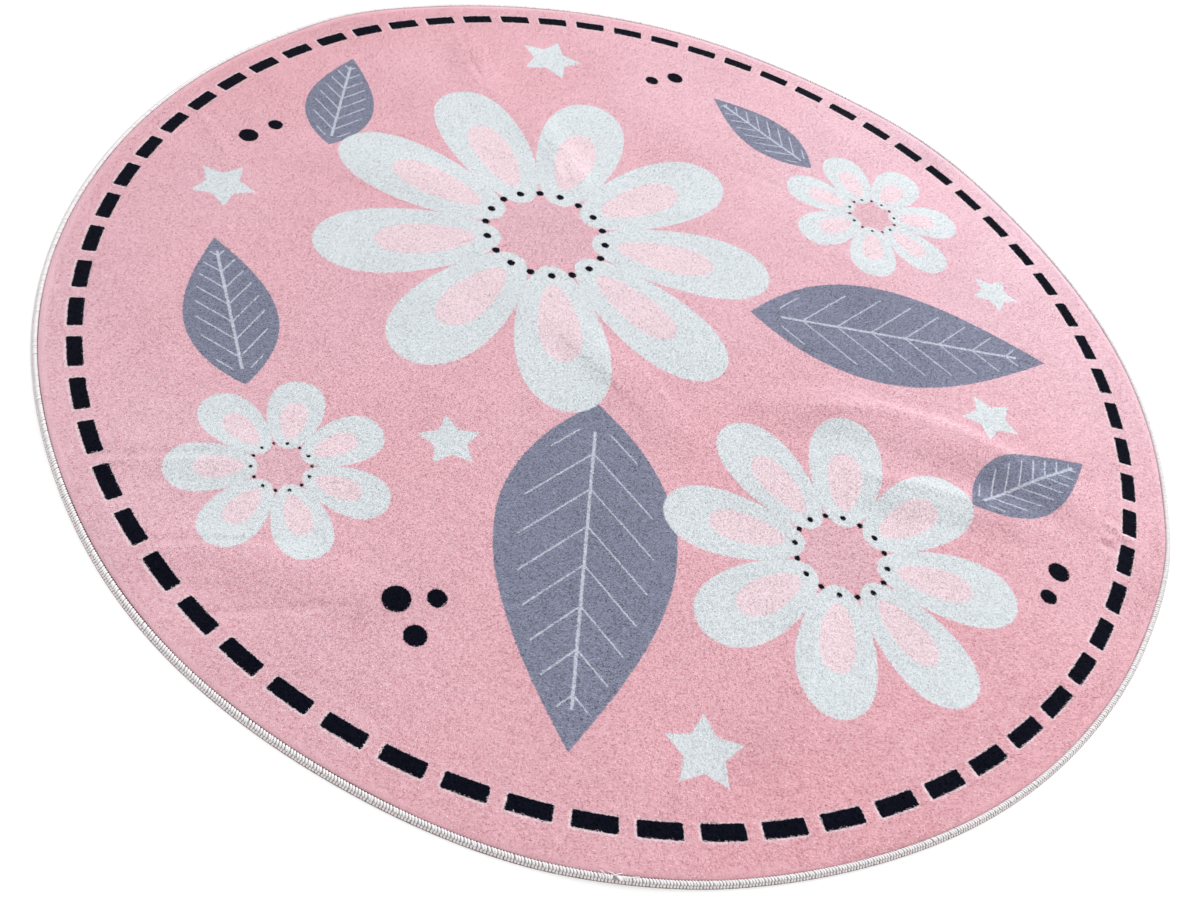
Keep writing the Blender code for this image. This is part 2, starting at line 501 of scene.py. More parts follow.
def mixed(tree, share, under, over, blend="MIX"):
    """The colour `over` on the colour `under`."""
    node = tree.nodes.new("ShaderNodeMix")
    node.data_type, node.blend_type = "RGBA", blend
    for socket, value in zip((node.inputs[0], node.inputs[6], node.inputs[7]), (share, under, over)):
        if isinstance(value, Field):
            value = value.socket
        if isinstance(value, bpy.types.NodeSocket):
            tree.links.new(value, socket)
        elif isinstance(value, float):
            socket.default_value = value
        else:
            socket.default_value = (*value, 1.0)
    return node.outputs[2]


def noise(tree, place, scale, detail=2.0, roughness=0.5):
    """A noise texture's value, about 0.5 on the whole, as a Field."""
    node = add_node(tree, "ShaderNodeTexNoise", Vector=place, Scale=scale, Detail=detail, Roughness=roughness)
    return Field(node.outputs["Fac"])


def mottled(tree, place, colour):
    """The colour with the uneven dye and light of a plush cloth, in patches and in small tufts."""
    patches = noise(tree, place, 11.0, 3.0, 0.5)
    tufts = noise(tree, place, 430.0, 2.0, 0.6)
    shade = 0.86 + patches * 0.08 + tufts * 0.20
    grey = add_node(tree, "ShaderNodeCombineColor", Red=shade, Green=shade, Blue=shade)
    return mixed(tree, 1.0, colour, grey.outputs[0], "MULTIPLY")


def set_cloth_shine(shader, sheen=0.30):
    shader.inputs["Roughness"].default_value = 0.92
    shader.inputs["Specular IOR Level"].default_value = 0.3 * sheen
    shader.inputs["Sheen Weight"].default_value = sheen
    shader.inputs["Sheen Roughness"].default_value = 0.45


def printed_plush():
    """The dense foot of the pile, printed through nodes with its ground painted paler towards the window as
    painted light, its edges frayed by a fibre's width.
    """
    material, tree, shader = new_material("printed_plush")
    place = add_node(tree, "ShaderNodeTexCoord").outputs["Object"]
    parts = add_node(tree, "ShaderNodeSeparateXYZ", Vector=place)
    fray_x = noise(tree, place, 420.0, 2.0) - 0.5
    fray_y = noise(tree, place, 390.0, 2.0) - 0.5
    x = Field(parts.outputs["X"]) + fray_x * 0.0022
    y = Field(parts.outputs["Y"]) + fray_y * 0.0022
    colour = linear(SHEET_COLOURS["pink"])
    for name, share in print_layers(x, y):
        colour = mixed(tree, share, colour, linear(SHEET_COLOURS[name]))
    tree.links.new(mottled(tree, place, colour), shader.inputs["Base Color"])
    set_cloth_shine(shader, 0.05)
    nap = noise(tree, place, 1000.0, 3.0, 0.65)
    bump = add_node(tree, "ShaderNodeBump", Height=nap, Strength=0.8, Distance=0.0012)
    tree.links.new(bump.outputs["Normal"], shader.inputs["Normal"])
    return material


def fibre_plush(name, sheen):
    """The pile's fibres, each in its own dye with painted light and shade, a little brighter towards the tip
    and darker at the root as painted shade.
    """
    material, tree, shader = new_material(name)
    place = add_node(tree, "ShaderNodeTexCoord").outputs["Object"]
    dye_and_light = add_node(tree, "ShaderNodeAttribute", {"attribute_name": "dye_and_light"}).outputs["Color"]
    tip = Field(add_node(tree, "ShaderNodeAttribute", {"attribute_name": "tip"}).outputs["Fac"])
    # paler tips, and a root darker as painted shade
    shade = tip * 0.30 + 0.86
    bright = add_node(tree, "ShaderNodeCombineColor", Red=shade, Green=shade, Blue=shade)
    colour = mixed(tree, 1.0, dye_and_light, bright.outputs[0], "MULTIPLY")
    tree.links.new(mottled(tree, place, colour), shader.inputs["Base Color"])
    set_cloth_shine(shader, sheen)
    return material


def felt_backing():
    """The plain off-white backing on the underside, with a faint woven grid."""
    material, tree, shader = new_material("felt_backing")
    place = add_node(tree, "ShaderNodeTexCoord").outputs["Object"]
    parts = add_node(tree, "ShaderNodeSeparateXYZ", Vector=place)
    across, along = Field(parts.outputs["X"]), Field(parts.outputs["Y"])
    weave = calc("SINE", across * 2100.0) * calc("SINE", along * 2100.0)
    fuzz = noise(tree, place, 260.0, 4.0, 0.7)
    shade = 0.50 + weave * 0.03 + fuzz * 0.16
    grey = add_node(tree, "ShaderNodeCombineColor", Red=shade, Green=shade * 0.985, Blue=shade * 0.96)
    tree.links.new(grey.outputs[0], shader.inputs["Base Color"])
    bump = add_node(tree, "ShaderNodeBump", Height=weave * 0.4 + fuzz, Strength=0.5, Distance=0.0006)
    tree.links.new(bump.outputs["Normal"], shader.inputs["Normal"])
    shader.inputs["Roughness"].default_value = 0.95
    return material


def shaded_foot():
    """The pile's foot in the groove beside the yarn, where the light hardly reaches."""
    material, _, shader = new_material("shaded_foot")
    shader.inputs["Base Color"].default_value = (0.26, 0.085, 0.115, 1.0)
    shader.inputs["Roughness"].default_value = 0.95
    return material


def white_yarn(name, brightness, tint=(1.0, 0.985, 0.975)):
    """Soft spun yarn, a little uneven and fuzzy."""
    material, tree, shader = new_material(name)
    place = add_node(tree, "ShaderNodeTexCoord").outputs["Object"]
    fuzz = noise(tree, place, 1500.0, 3.0, 0.7)
    soil = noise(tree, place, 60.0, 2.0)
    shade = brightness * 0.90 + fuzz * (0.12 * brightness) + soil * (0.06 * brightness)
    channels = {"Red": shade * tint[0], "Green": shade * tint[1], "Blue": shade * tint[2]}
    grey = add_node(tree, "ShaderNodeCombineColor", **channels)
    tree.links.new(grey.outputs[0], shader.inputs["Base Color"])
    bump = add_node(tree, "ShaderNodeBump", Height=fuzz, Strength=0.6, Distance=0.0004)
    tree.links.new(bump.outputs["Normal"], shader.inputs["Normal"])
    set_cloth_shine(shader)
    return material


# Meshes


def mesh_object(name, points, corners, counts, materials, smooth=True):
    """A mesh from arrays: its points, its faces' corners in one run, and each face's number of corners."""
    mesh = bpy.data.meshes.new(name)
    mesh.vertices.add(len(points))
    mesh.vertices.foreach_set("co", np.asarray(points, np.float32).ravel())
    mesh.loops.add(len(corners))
    mesh.loops.foreach_set("vertex_index", np.asarray(corners, np.int32))
    mesh.polygons.add(len(counts))
    mesh.polygons.foreach_set("loop_start", np.concatenate([[0], np.cumsum(counts)[:-1]]).astype(np.int32))
    mesh.update(calc_edges=True)
    if smooth:
        mesh.shade_smooth()
    for material in materials:
        mesh.materials.append(material)
    piece = bpy.data.objects.new(name, mesh)
    bpy.context.scene.collection.objects.link(piece)
    return piece


def plan_map(piece):
    """A UV map that is the rug's plan, so that a baked print stays sharp."""
    mesh = piece.data
    points = np.empty(len(mesh.vertices) * 3, np.float32)
    mesh.vertices.foreach_get("co", points)
    vertex = np.empty(len(mesh.loops), np.int32)
    mesh.loops.foreach_get("vertex_index", vertex)
    plan = points.reshape(-1, 3)[vertex, :2] / (RUG_ACROSS + 0.02) + 0.5
    mesh.uv_layers.new(name="OFBake", do_init=False)
    mesh.uv_layers["OFBake"].uv.foreach_set("vector", plan.astype(np.float32).ravel())


class Rings:
    """A closed shell made of rings of points that are joined one to the next."""

    def __init__(self):
        self.points, self.corners, self.counts, self.total = [], [], [], 0

    def ring(self, points):
        self.points.append(points)
        self.total += len(points)
        return np.arange(self.total - len(points), self.total)

    def faces(self, *columns):
        rows = np.stack(columns, axis=1)
        self.corners.append(rows.ravel())
        self.counts.append(np.full(len(rows), rows.shape[1]))

    def join(self, outer, inner):
        """Faces between two rings. The second has as many points as the first, or half."""
        after = np.roll(inner, -1)
        if len(inner) == len(outer):
            self.faces(outer, np.roll(outer, -1), after, inner)
            return
        first, middle, last = outer[::2], outer[1::2], np.roll(outer[::2], -1)
        self.faces(first, middle, inner)
        self.faces(middle, after, inner)
        self.faces(middle, last, after)

    def cap(self, ring):
        self.corners.append(ring)
        self.counts.append(np.array([len(ring)]))


RIM_STEPS = 720
LEAST_STEPS = 45
TOP_PITCH = 0.0058
UNDER_PITCH = 0.024
PILE_FOOT = 0.0052  # height of the dense part of the pile that the fibres stand out of

# The cloth's materials, in their order
PLUSH_SLOT = 0
BACKING_SLOT = 1
FOOT_SLOT = 2


def pile_lumps(x, y):
    """Small unevenness of the pile's dense part."""
    lumps = 0.00010 * soft_noise(x, y, 0.011, 5) + 0.00035 * soft_noise(x, y, 0.055, 6)
    return lumps + sum(fold_height(crease, x, y) for crease in CREASES)


def add_disc(shell, outer, height, pitch, widest, relief):
    """Rings of faces that fill a rim ring, halving their number where they get narrow."""
    edge = RUG_ACROSS / 2 - PILE_SHOULDER
    rings = round(edge / pitch)
    for ring in range(rings - 1, 0, -1):
        share = ring / rings
        steps = len(outer)
        if steps > LEAST_STEPS and math.tau * edge * share / (steps // 2) < widest:
            steps //= 2
        angle = math.tau * np.arange(steps) / steps
        inset = rim_radius(angle) - (rim_radius(angle) - PILE_SHOULDER) * share
        points = rim_points(angle, inset, height)
        points[:, 2] += relief(points[:, 0], points[:, 1])
        inner = shell.ring(points)
        shell.join(outer, inner)
        outer = inner
    shell.cap(outer)


def plush_cloth(materials):
    """The sheet: the pile's dense part on top, the bare lip at its rim, and the backing underneath."""
    angle = math.tau * np.arange(RIM_STEPS) / RIM_STEPS
    section = (
        (PILE_SHOULDER, PILE_FOOT),
        (pile_wall(angle) + 0.0012, PILE_FOOT - 0.0006),
        (pile_wall(angle), PILE_FOOT - 0.0014),
        (pile_wall(angle), LIP_HIGH),
        (LIP_INSET, LIP_HIGH),
        (LIP_INSET, LIP_LOW),
        (pile_wall(angle), LIP_LOW),
        (pile_wall(angle), 0.0006),
        (PILE_SHOULDER, 0.0),
    )
    shell = Rings()
    rings = [shell.ring(rim_points(angle, inset, height)) for inset, height in section]
    for upper, lower in zip(rings, rings[1:]):
        shell.join(lower, upper)
    add_disc(shell, rings[0], PILE_FOOT, TOP_PITCH, 0.0105, pile_lumps)
    top_faces = sum(len(counts) for counts in shell.counts)
    reverse_from = len(shell.corners)
    add_disc(shell, rings[-1], 0.0, UNDER_PITCH, 0.040, lambda x, y: 0.0)
    for i in range(reverse_from, len(shell.corners)):
        sides = shell.counts[i][0]
        shell.corners[i] = shell.corners[i].reshape(-1, sides)[:, ::-1].ravel()
    counts = np.concatenate(shell.counts)
    piece = mesh_object(
        "plush_cloth", np.concatenate(shell.points), np.concatenate(shell.corners), counts, materials
    )
    slots = np.full(len(counts), PLUSH_SLOT, np.int32)
    slots[2 * RIM_STEPS : 4 * RIM_STEPS] = FOOT_SLOT
    slots[4 * RIM_STEPS : 8 * RIM_STEPS] = BACKING_SLOT
    slots[top_faces:] = BACKING_SLOT
    piece.data.polygons.foreach_set("material_index", slots)
    plan_map(piece)
    return piece


FIBRE_PIECES = 4
FIBRES_EACH = 176_000
FIBRE_LONG = 0.0034
FIBRE_WIDE = 0.00088
NAP_DEG = -32  # the way the pile leans
WINDOW_WAY = (0.56, 0.83)
# how strongly the ground's slope is painted into the pile as light and shade
SLOPE_LIGHT = 1.15
SHADE_POWERS = np.array([0.6, 1.3, 1.2])  # dyed pile gets deeper in colour where it gets darker
GOLDEN_TURN = math.pi * (3 - math.sqrt(5))
DARK_DYE = 0.08  # green part of the colour, under which a fibre takes the ink's material
RAGGED = 0.0010  # how far whole tufts carry the print's edges
RAGGED_PITCH = 0.0024
LAID_FROM = 0.6  # share of the rim's zone over which the pile comes to lie with the nap
RIM_ZONE = 0.008

# How much each fibre's brightness varies, and how much more or less it does in some places
GRAIN_SPREAD = 0.28
GRAIN_LIMITS = (-0.45, 0.60)
WHITE_CALM = 0.50
DARK_GRAIN = 1.70
RIM_GRAIN = 0.50

# The pile's painted light and shade: its brightness in the middle, its painted rise outwards, and its painted
# shade at the bent rim
MIDDLE_TONE = 0.94
OUTER_TONE = 0.26
RIM_SHADE = 0.06
RIGHT_RIM_SHADE = 0.12
RIM_SHADE_REACH = 0.045


def painted_slope_light(x, y):
    """Painted light and shade from the ground's slope: the pile is painted darker where its ground tips away
    from the window, and brighter where it faces it.
    """
    step = 0.004
    away_x, away_y = x + step * WINDOW_WAY[0], y + step * WINDOW_WAY[1]
    here = floor_gap(x, y) + pile_lumps(x, y)
    slope = (floor_gap(away_x, away_y) + pile_lumps(away_x, away_y) - here) / step
    return np.clip(1 - SLOPE_LIGHT * slope, 0.7, 1.3)


# Wide patches of painted shade and painted light on the pile.
PaintedLightPatch = namedtuple("PaintedLightPatch", "x y reach amount")
PAINTED_LIGHT_PATCHES = (
    PaintedLightPatch(0.180, -0.150, 0.26, -0.080),
    PaintedLightPatch(0.400, -0.110, 0.15, -0.060),
    PaintedLightPatch(-0.380, -0.420, 0.24, 0.050),
    PaintedLightPatch(0.430, 0.300, 0.28, 0.040),
    PaintedLightPatch(-0.050, 0.050, 0.30, -0.020),
)

# Bands of painted shade where a fold has swept the pile the other way. They are darkest along a fold's crest,
# from one point to another, bowed to its left by `bow`, and fade out over `width` on the crest's right.
SweptShadeBand = namedtuple("SweptShadeBand", "from_x from_y to_x to_y bow width amount")
SWEPT_START = 0.2
SWEPT_END = 0.4
CREST_SOFTNESS = 0.15
SWEPT_SHADE_BANDS = (
    SweptShadeBand(0.090, -0.090, 0.530, -0.045, 0.066, 0.048, 0.16),
    SweptShadeBand(0.230, -0.088, 0.430, -0.078, 0.006, 0.040, 0.11),
    SweptShadeBand(0.240, -0.235, 0.190, -0.475, 0.028, 0.050, 0.05),
    SweptShadeBand(-0.165, -0.465, -0.060, -0.250, -0.026, 0.050, 0.04),
)


def swept_shade(band, x, y):
    run_x, run_y = band.to_x - band.from_x, band.to_y - band.from_y
    length = math.hypot(run_x, run_y)
    across = (run_x * (y - band.from_y) - run_y * (x - band.from_x)) / length
    along = np.clip((run_x * (x - band.from_x) + run_y * (y - band.from_y)) / length**2, 0, 1)
    below = (band.bow * 4 * along * (1 - along) - across) / band.width
    ends = soft_step(along / SWEPT_START) * soft_step((1 - along) / SWEPT_END)
    crest = soft_step(below / CREST_SOFTNESS + 0.5)
    return band.amount * ends * crest * soft_step(1 - below)


def painted_light(x, y):
    """The pile's painted light and shade: a rise outwards, its wide patches, its swept bands and its bent
    rim.
    """
    patches = [p.amount * soft_bump(np.hypot(x - p.x, y - p.y) / p.reach) for p in PAINTED_LIGHT_PATCHES]
    rim = soft_step(1 - (RUG_ACROSS / 2 - np.hypot(x, y)) / RIM_SHADE_REACH)
    right = soft_bump((np.arctan2(y, x) + math.radians(8)) / math.radians(35))
    ripples = soft_noise(x * 1.4, y, 0.021, 23) * (0.04 + 0.07 * right)
    rim_shade = rim * (RIM_SHADE + RIGHT_RIM_SHADE * right + ripples)
    bands = sum(swept_shade(band, x, y) for band in SWEPT_SHADE_BANDS)
    return MIDDLE_TONE + OUTER_TONE * (x * x + y * y) + sum(patches) - bands - rim_shade


def combed(x, y):
    """Fine streaks along the nap, where neighbouring tufts lie a little differently."""
    heading = math.radians(NAP_DEG) + 0.45 * soft_noise(x, y, 0.085, 11)
    along = x * np.cos(heading) + y * np.sin(heading)
    across = y * np.cos(heading) - x * np.sin(heading)
    fine = soft_noise(along / 3.2, across, 0.0017, 21)
    return 0.18 * fine + 0.05 * soft_noise(along / 2.5, across, 0.0060, 22)


def fibre_roots(rng, part):
    """Evenly spread places for one piece's share of the fibres, each moved a little at random."""
    index = np.arange(FIBRES_EACH) * FIBRE_PIECES + part + 0.5
    share = np.sqrt(index / (FIBRES_EACH * FIBRE_PIECES))
    angle = index * GOLDEN_TURN
    edge = rim_radius(angle) - pile_wall(angle) - 0.0005
    inset = rim_radius(angle) - edge * share
    points = rim_points(angle, inset, 0.0)
    jitter = rng.normal(0, 0.0005, (FIBRES_EACH, 2))
    x, y = points[:, 0] + jitter[:, 0], points[:, 1] + jitter[:, 1]
    from_rim = np.clip((inset - pile_wall(angle)) / RIM_ZONE, 0, 1)
    return x, y, from_rim


def pile_fibres(part, materials):
    """Short leaning fibres, a face each, with the nap turning a little over the rug."""
    rng = np.random.default_rng(40 + part)
    x, y, from_rim = fibre_roots(rng, part)
    count = len(x)
    outward = np.arctan2(y, x)
    lean_way = (
        math.radians(NAP_DEG)
        + 0.45 * soft_noise(x, y, 0.085, 11)
        + np.clip(rng.normal(0, 0.55, count), -1.1, 1.1)
    )
    laid = np.minimum(from_rim / LAID_FROM, 1)
    lean_x = np.cos(lean_way) * laid + np.cos(outward) * (1 - laid)
    lean_y = np.sin(lean_way) * laid + np.sin(outward) * (1 - laid)
    lean = 0.92 + 0.06 * soft_noise(x, y, 0.045, 13) + rng.normal(0, 0.18, count)
    lean = np.clip(lean, 0.3, 1.3) * (0.30 + 0.70 * laid)
    long = FIBRE_LONG * rng.uniform(0.75, 1.15, count) * (0.50 + 0.50 * laid)
    half = FIBRE_WIDE / 2 * rng.uniform(0.7, 1.3, count)
    twist = rng.normal(0, 0.20, count)
    side_x = -lean_y * np.cos(twist) + lean_x * np.sin(twist)
    side_y = lean_x * np.cos(twist) + lean_y * np.sin(twist)
    foot = PILE_FOOT - 0.0006 - 0.0010 * (1 - from_rim) + floor_gap(x, y) + pile_lumps(x, y)
    points = np.empty((count, 3, 3))
    points[:, 0] = np.stack([x - side_x * half, y - side_y * half, foot], axis=1)
    points[:, 1] = np.stack([x + side_x * half, y + side_y * half, foot], axis=1)
    reach = long * np.sin(lean)
    tip_height = foot + long * np.cos(lean)
    points[:, 2] = np.stack([x + lean_x * reach, y + lean_y * reach, tip_height], axis=1)
    piece = mesh_object(
        f"pile_fibres_{part + 1}",
        points.reshape(-1, 3),
        np.arange(3 * count),
        np.full(count, 3),
        materials,
        smooth=False,
    )
    fray = rng.normal(0, 0.00015, (count, 2))
    printed_at = 0.8 * reach
    print_x = x + lean_x * printed_at + fray[:, 0] + RAGGED * soft_noise(x, y, RAGGED_PITCH, 31)
    print_y = y + lean_y * printed_at + fray[:, 1] + RAGGED * soft_noise(x, y, RAGGED_PITCH, 32)
    colour = printed_colours(print_x, print_y)
    piece.data.polygons.foreach_set("material_index", (colour[:, 1] < DARK_DYE).astype(np.int32))
    whiteness = np.clip((colour[:, 1] - 0.50) / 0.20, 0, 1)
    darkness = np.clip((0.43 - colour[:, 1]) / 0.18, 0, 1)
    grain = combed(x, y) + np.clip(rng.normal(0, GRAIN_SPREAD, count), *GRAIN_LIMITS)
    grain *= 1 - WHITE_CALM * whiteness + DARK_GRAIN * darkness + RIM_GRAIN * (1 - from_rim)
    # painted light and shade from the slope, the patches, the swept bands and the rim, times each fibre's
    # grain
    brightness = painted_slope_light(x, y) * painted_light(x, y) * np.clip(1 + grain, 0.3, 2.0)
    neutral = np.maximum(whiteness, darkness)[:, None]
    colour *= brightness[:, None] ** (SHADE_POWERS + (1 - SHADE_POWERS) * neutral)
    pale = (rng.random(count) < 0.03) * np.where(colour[:, 1] < DARK_DYE, 0.03, 0.22)
    far_side = 0.5 + 0.5 * np.cos(outward - math.radians(75))
    pale += np.clip(0.40 + 0.35 * far_side - from_rim * (2.0 - 1.3 * far_side), 0, 1) * (
        0.55 + 0.45 * soft_noise(x, y, 0.014, 15)
    )
    colour += (np.array(linear(SHEET_COLOURS["white"])) - colour) * pale[:, None]
    # each fibre's print colour with its grain and pale fibres, and with painted light and shade
    dye_and_light = np.ones((count, 3, 4), np.float32)
    dye_and_light[:, :, :3] = np.clip(colour, 0, 1)[:, None, :]
    layer = piece.data.color_attributes.new("dye_and_light", "FLOAT_COLOR", "POINT")
    layer.data.foreach_set("color", dye_and_light.ravel())
    tip = np.tile([0.0, 0.0, 1.0], count)
    piece.data.attributes.new("tip", "FLOAT", "POINT").data.foreach_set("value", tip.astype(np.float32))
    plan_map(piece)
    return piece


def yarn_strands(name, paths, reference, half_wide, half_thick, sides, materials):
    """Closed tubes along several paths at once. `paths` has a row of points for each strand, and
    `reference` the direction in which the yarn is half_wide across."""
    strands, stops = paths.shape[:2]
    along = np.gradient(paths, axis=1)
    along /= np.linalg.norm(along, axis=2, keepdims=True)
    wide = reference - along * (reference * along).sum(2, keepdims=True)
    wide /= np.linalg.norm(wide, axis=2, keepdims=True)
    thick = np.cross(along, wide)
    turn = math.tau * np.arange(sides) / sides
    half_wide = np.broadcast_to(half_wide, stops)[None, :, None, None]
    ring = np.cos(turn)[:, None] * half_wide * wide[:, :, None]
    ring = ring + np.sin(turn)[:, None] * half_thick * thick[:, :, None]
    points = (paths[:, :, None] + ring).reshape(-1, 3)
    index = np.arange(strands * stops * sides).reshape(strands, stops, sides)
    after = np.roll(index, -1, axis=2)
    quads = np.stack([index[:, :-1], after[:, :-1], after[:, 1:], index[:, 1:]], axis=-1).reshape(-1, 4)
    near, far = index[:, 0, ::-1].reshape(-1), index[:, -1].reshape(-1)
    corners = np.concatenate([quads.ravel(), near, far])
    counts = np.concatenate([np.full(len(quads), 4), np.full(2 * strands, sides)])
    return mesh_object(name, points, corners, counts, materials)


STITCHES = 1400
YarnStop = namedtuple("YarnStop", "inset height half_wide")
CROSSING = (
    YarnStop(0.0061, 0.0034, 0.00075),
    YarnStop(0.0058, 0.0046, 0.00112),
    YarnStop(0.0050, 0.0053, 0.00120),
    YarnStop(0.0040, 0.0053, 0.00110),
    YarnStop(0.0031, 0.0048, 0.00090),
    YarnStop(0.0026, 0.0040, 0.00050),
)
JOIN_DEG = -77.4  # where the yarn starts and ends
JOIN_HALF_DEG = 1.1
CHAIN_GAP_SHADE_BANDS = slice(4, 6)  # the bands of the bead's section on its outside, darker as painted shade in the chain's gaps

# Loose ends of yarn at the join: where each starts, its first inset, how far it sweeps round the rim, and
# how far inwards it reaches.
ThreadEnd = namedtuple("ThreadEnd", "from_deg inset sweep_deg reach")
THREAD_ENDS = (
    ThreadEnd(-0.35, 0.0046, 0.9, 0.0035),
    ThreadEnd(0.10, 0.0052, -0.7, 0.0030),
    ThreadEnd(0.55, 0.0040, 1.3, 0.0024),
    ThreadEnd(-0.75, 0.0050, -0.4, 0.0032),
)


def rim_direction(angle):
    """The direction along the rim."""
    return np.stack([-np.sin(angle), np.cos(angle), np.zeros_like(angle)], axis=-1)


def binding_crossings(material):
    """The yarn that crosses the bead of the edge, from the pile over the top and down its outside."""
    rng = np.random.default_rng(71)
    pitch = math.tau / STITCHES
    start = pitch * (np.arange(STITCHES) + rng.normal(0, 0.05, STITCHES))
    join = soft_bump((start - math.tau - math.radians(JOIN_DEG)) / math.radians(JOIN_HALF_DEG))
    slant = rng.normal(0.95, 0.10, STITCHES) + join * rng.normal(0, 0.9, STITCHES)
    swell = rng.normal(0, 0.00010, STITCHES) + join * rng.normal(0.0004, 0.0004, STITCHES)
    share = np.linspace(0, 1, len(CROSSING))
    angle = start[:, None] + pitch * slant[:, None] * share
    inset = np.stack([widened(stop.inset, start) for stop in CROSSING], axis=1) - 0.5 * swell[:, None]
    height = np.array([stop.height for stop in CROSSING]) + swell[:, None]
    half_wide = np.array([stop.half_wide for stop in CROSSING])
    paths = rim_points(angle, inset, height)
    return yarn_strands(
        "binding_crossings", paths, rim_direction(angle), half_wide, 0.00070, 5, [material]
    )


def binding_chain(material):
    """The chain of knots along the outside of the edge, one to a stitch, with dark gaps between them."""
    rng = np.random.default_rng(72)
    pitch = math.tau / STITCHES
    start = pitch * (np.arange(STITCHES) + 0.3 + rng.normal(0, 0.04, STITCHES))
    share = np.array([0.0, 0.15, 0.34, 0.53, 0.68])
    half_wide = np.array([0.00045, 0.00120, 0.00145, 0.00120, 0.00045])
    bulge = np.array([0.0004, 0.0001, 0.0, 0.0001, 0.0004])
    slant = 0.0005 * (share - 0.34) / 0.34
    wobble = rng.normal(0, 0.00006, (STITCHES, 1))
    angle = start[:, None] + pitch * share
    paths = rim_points(angle, 0.0016 + slant + wobble, 0.0033 - bulge + wobble)
    inward = -np.stack([np.cos(angle), np.sin(angle), np.zeros_like(angle)], axis=-1)
    reference = 0.80 * inward + [0.0, 0.0, 0.60]
    return yarn_strands("binding_chain", paths, reference, half_wide, 0.00060, 5, [material])


def binding_core(materials):
    """What shows between the stitches: the bead itself, round over the cloth's lip, darker as painted shade,
    and darker still low on its outside.
    """
    angle = math.tau * np.arange(RIM_STEPS) / RIM_STEPS
    groove = LIP_INSET - CLEARANCE
    section = (
        (BEAD_WIDE, YARN_UNDER),
        (BEAD_WIDE - 0.0012, 0.0),
        (0.0018, 0.0),
        (0.0007, 0.0006),
        (0.0005, 0.0018),
        (0.0012, 0.0026),
        (0.0024, 0.0038),
        (0.0036, 0.0047),
        (BEAD_WIDE - 0.0012, 0.0045),
        (BEAD_WIDE - 0.0002, LIP_HIGH + CLEARANCE),
        (groove, LIP_HIGH + CLEARANCE),
        (groove, YARN_UNDER),
    )
    shell = Rings()
    rings = [shell.ring(rim_points(angle, widened(inset, angle), height)) for inset, height in section]
    for upper, lower in zip(rings, rings[1:] + rings[:1]):
        shell.join(upper, lower)
    piece = mesh_object(
        "binding_core",
        np.concatenate(shell.points),
        np.concatenate(shell.corners),
        np.concatenate(shell.counts),
        materials,
    )
    # painted shade: the bands in the chain's gaps take the darkest yarn
    gap_shade = np.zeros(len(section), np.int32)
    gap_shade[CHAIN_GAP_SHADE_BANDS] = 1
    piece.data.polygons.foreach_set("material_index", np.repeat(gap_shade, RIM_STEPS))
    return piece


def binding_thread_ends(material):
    """Loose ends where the yarn starts and ends: short curls that lie over the bead and the pile's edge."""
    share = np.linspace(0, 1, 6)
    height = 0.0052 + 0.0024 * np.sin(share * math.pi) * (1 - 0.4 * share)
    paths = []
    for end in THREAD_ENDS:
        angle = math.radians(JOIN_DEG) + math.tau + np.radians(end.from_deg + end.sweep_deg * share)
        paths.append(rim_points(angle, end.inset + end.reach * share**1.5, height))
    paths = np.array(paths)
    reference = np.broadcast_to([0.0, 0.0, 1.0], paths.shape)
    return yarn_strands("binding_thread_ends", paths, reference, 0.00035, 0.00035, 5, [material])


def binding_fuzz(material):
    """Fine hairs that stand off the yarn."""
    rng = np.random.default_rng(73)
    count = 9000
    angle = rng.uniform(0, math.tau, count)
    around = rng.uniform(-0.3, 2.2, count)
    inset, height = 0.0026 - 0.0022 * np.cos(around), 0.0026 + 0.0024 * np.sin(around)
    foot = rim_points(angle, inset, height)
    outward = np.stack([np.cos(angle) * np.cos(around), np.sin(angle) * np.cos(around), np.sin(around)], 1)
    side = rim_direction(angle)
    tip = foot + outward * rng.uniform(0.0006, 0.0018, (count, 1)) + side * rng.normal(0, 0.0008, (count, 1))
    points = np.stack([foot - side * 0.00010, foot + side * 0.00010, tip], axis=1)
    tip_low = points[:, 2, 2] < 0.0001
    points[tip_low, 2, 2] = 0.0001
    corners, counts = np.arange(3 * count), np.full(count, 3)
    return mesh_object("binding_fuzz", points.reshape(-1, 3), corners, counts, [material], smooth=False)


# Camera, floor and light

CAMERA_PLACE = (-0.0027, -0.9882, 0.9293)
CAMERA_TURN_DEG = (40.48, -11.07, 16.62)
CAMERA_LENS = 37.70
CAMERA_SHIFT = (0.0538, -0.0299)


def add_camera():
    data = bpy.data.cameras.new("camera")
    data.lens, data.sensor_width = CAMERA_LENS, 36.0
    data.shift_x, data.shift_y = CAMERA_SHIFT
    data.clip_start, data.clip_end = 0.05, 50.0
    camera = bpy.data.objects.new("camera", data)
    camera.location = CAMERA_PLACE
    camera.rotation_euler = [math.radians(turn) for turn in CAMERA_TURN_DEG]
    bpy.context.scene.collection.objects.link(camera)
    bpy.context.scene.camera = camera


def add_area_light(name, place, size, power, target=(0.0, 0.0, 0.0)):
    data = bpy.data.lights.new(name, "AREA")
    data.shape, data.size, data.energy = "DISK", size, power
    light = bpy.data.objects.new(name, data)
    light.location = place
    back = np.array(place) - np.array(target)
    light.rotation_euler = (
        math.atan2(math.hypot(back[0], back[1]), back[2]),
        0.0,
        math.atan2(back[0], -back[1]),
    )
    bpy.context.scene.collection.objects.link(light)


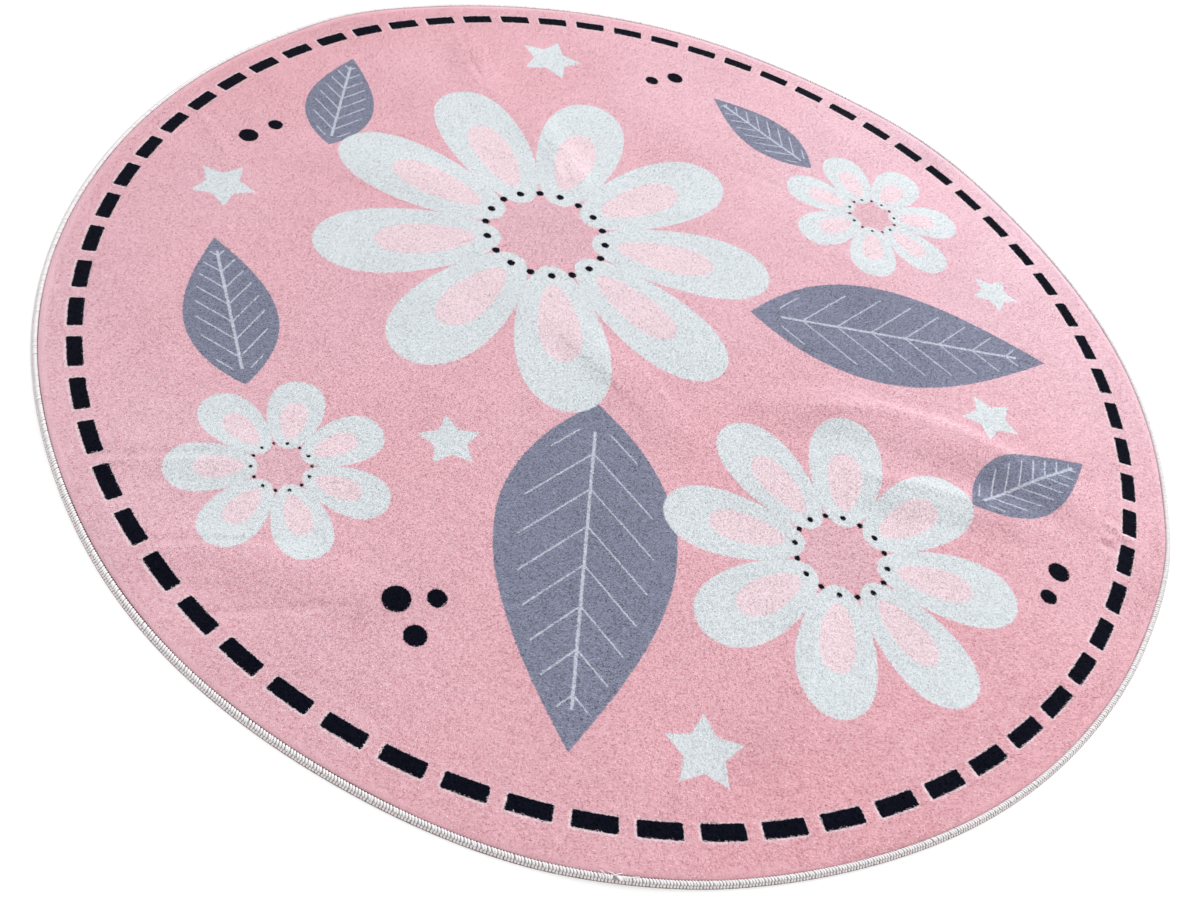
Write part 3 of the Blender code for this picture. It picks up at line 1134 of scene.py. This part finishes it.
def add_floor():
    material, tree, shader = new_material("pale_floor")
    place = add_node(tree, "ShaderNodeTexCoord").outputs["Object"]
    shade = 0.80 + noise(tree, place, 3.0) * 0.04
    grey = add_node(tree, "ShaderNodeCombineColor", Red=shade, Green=shade, Blue=shade)
    tree.links.new(grey.outputs[0], shader.inputs["Base Color"])
    shader.inputs["Roughness"].default_value = 0.9
    shader.inputs["Emission Color"].default_value = (1.0, 1.0, 1.0, 1.0)
    shader.inputs["Emission Strength"].default_value = 0.35
    half = 12.0
    corners = [(-half, -half, 0), (half, -half, 0), (half, half, 0), (-half, half, 0)]
    floor = mesh_object("floor", np.array(corners), [0, 1, 2, 3], [4], [material], smooth=False)


def add_world():
    world = bpy.data.worlds.new("studio")
    world.use_nodes = True
    sky = world.node_tree.nodes["Background"]
    sky.inputs["Color"].default_value = (1.0, 1.0, 1.0, 1.0)
    sky.inputs["Strength"].default_value = 0.80
    bpy.context.scene.world = world


bpy.context.scene.view_settings.view_transform = "Standard"
add_camera()
add_world()
add_area_light("window", (1.5, 2.1, 2.0), 1.6, 92)
add_area_light("fill", (-1.8, -1.0, 2.4), 2.4, 12)
add_floor()

plush_look = printed_plush()
fibre_looks = [fibre_plush("fibre_plush", 0.30), fibre_plush("fibre_ink", 0.0)]
yarn_look = white_yarn("crossing_yarn", 0.87, (1.0, 0.980, 0.990))
chain_look = white_yarn("chain_yarn", 0.80, (1.0, 0.915, 0.915))
# painted shade: the bead's core is darker yarn between the stitches, and darker still on its outside in the
# chain's gaps
core_looks = [
    white_yarn("shaded_core_yarn", 0.42, (1.0, 0.90, 0.92)),
    white_yarn("chain_gap_shade_yarn", 0.19, (1.0, 0.80, 0.78)),
]

cloth = plush_cloth([plush_look, felt_backing(), shaded_foot()])
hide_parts("rug_cloth")
fibres = [pile_fibres(part, fibre_looks) for part in range(FIBRE_PIECES)]
core = binding_core(core_looks)
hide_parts("edge_binding")
binding = [
    core,
    binding_crossings(yarn_look),
    binding_chain(chain_look),
    binding_thread_ends(yarn_look),
    binding_fuzz(yarn_look),
]

for piece in [cloth] + fibres:
    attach(piece, "root")
for piece in binding:
    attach(piece, "root")
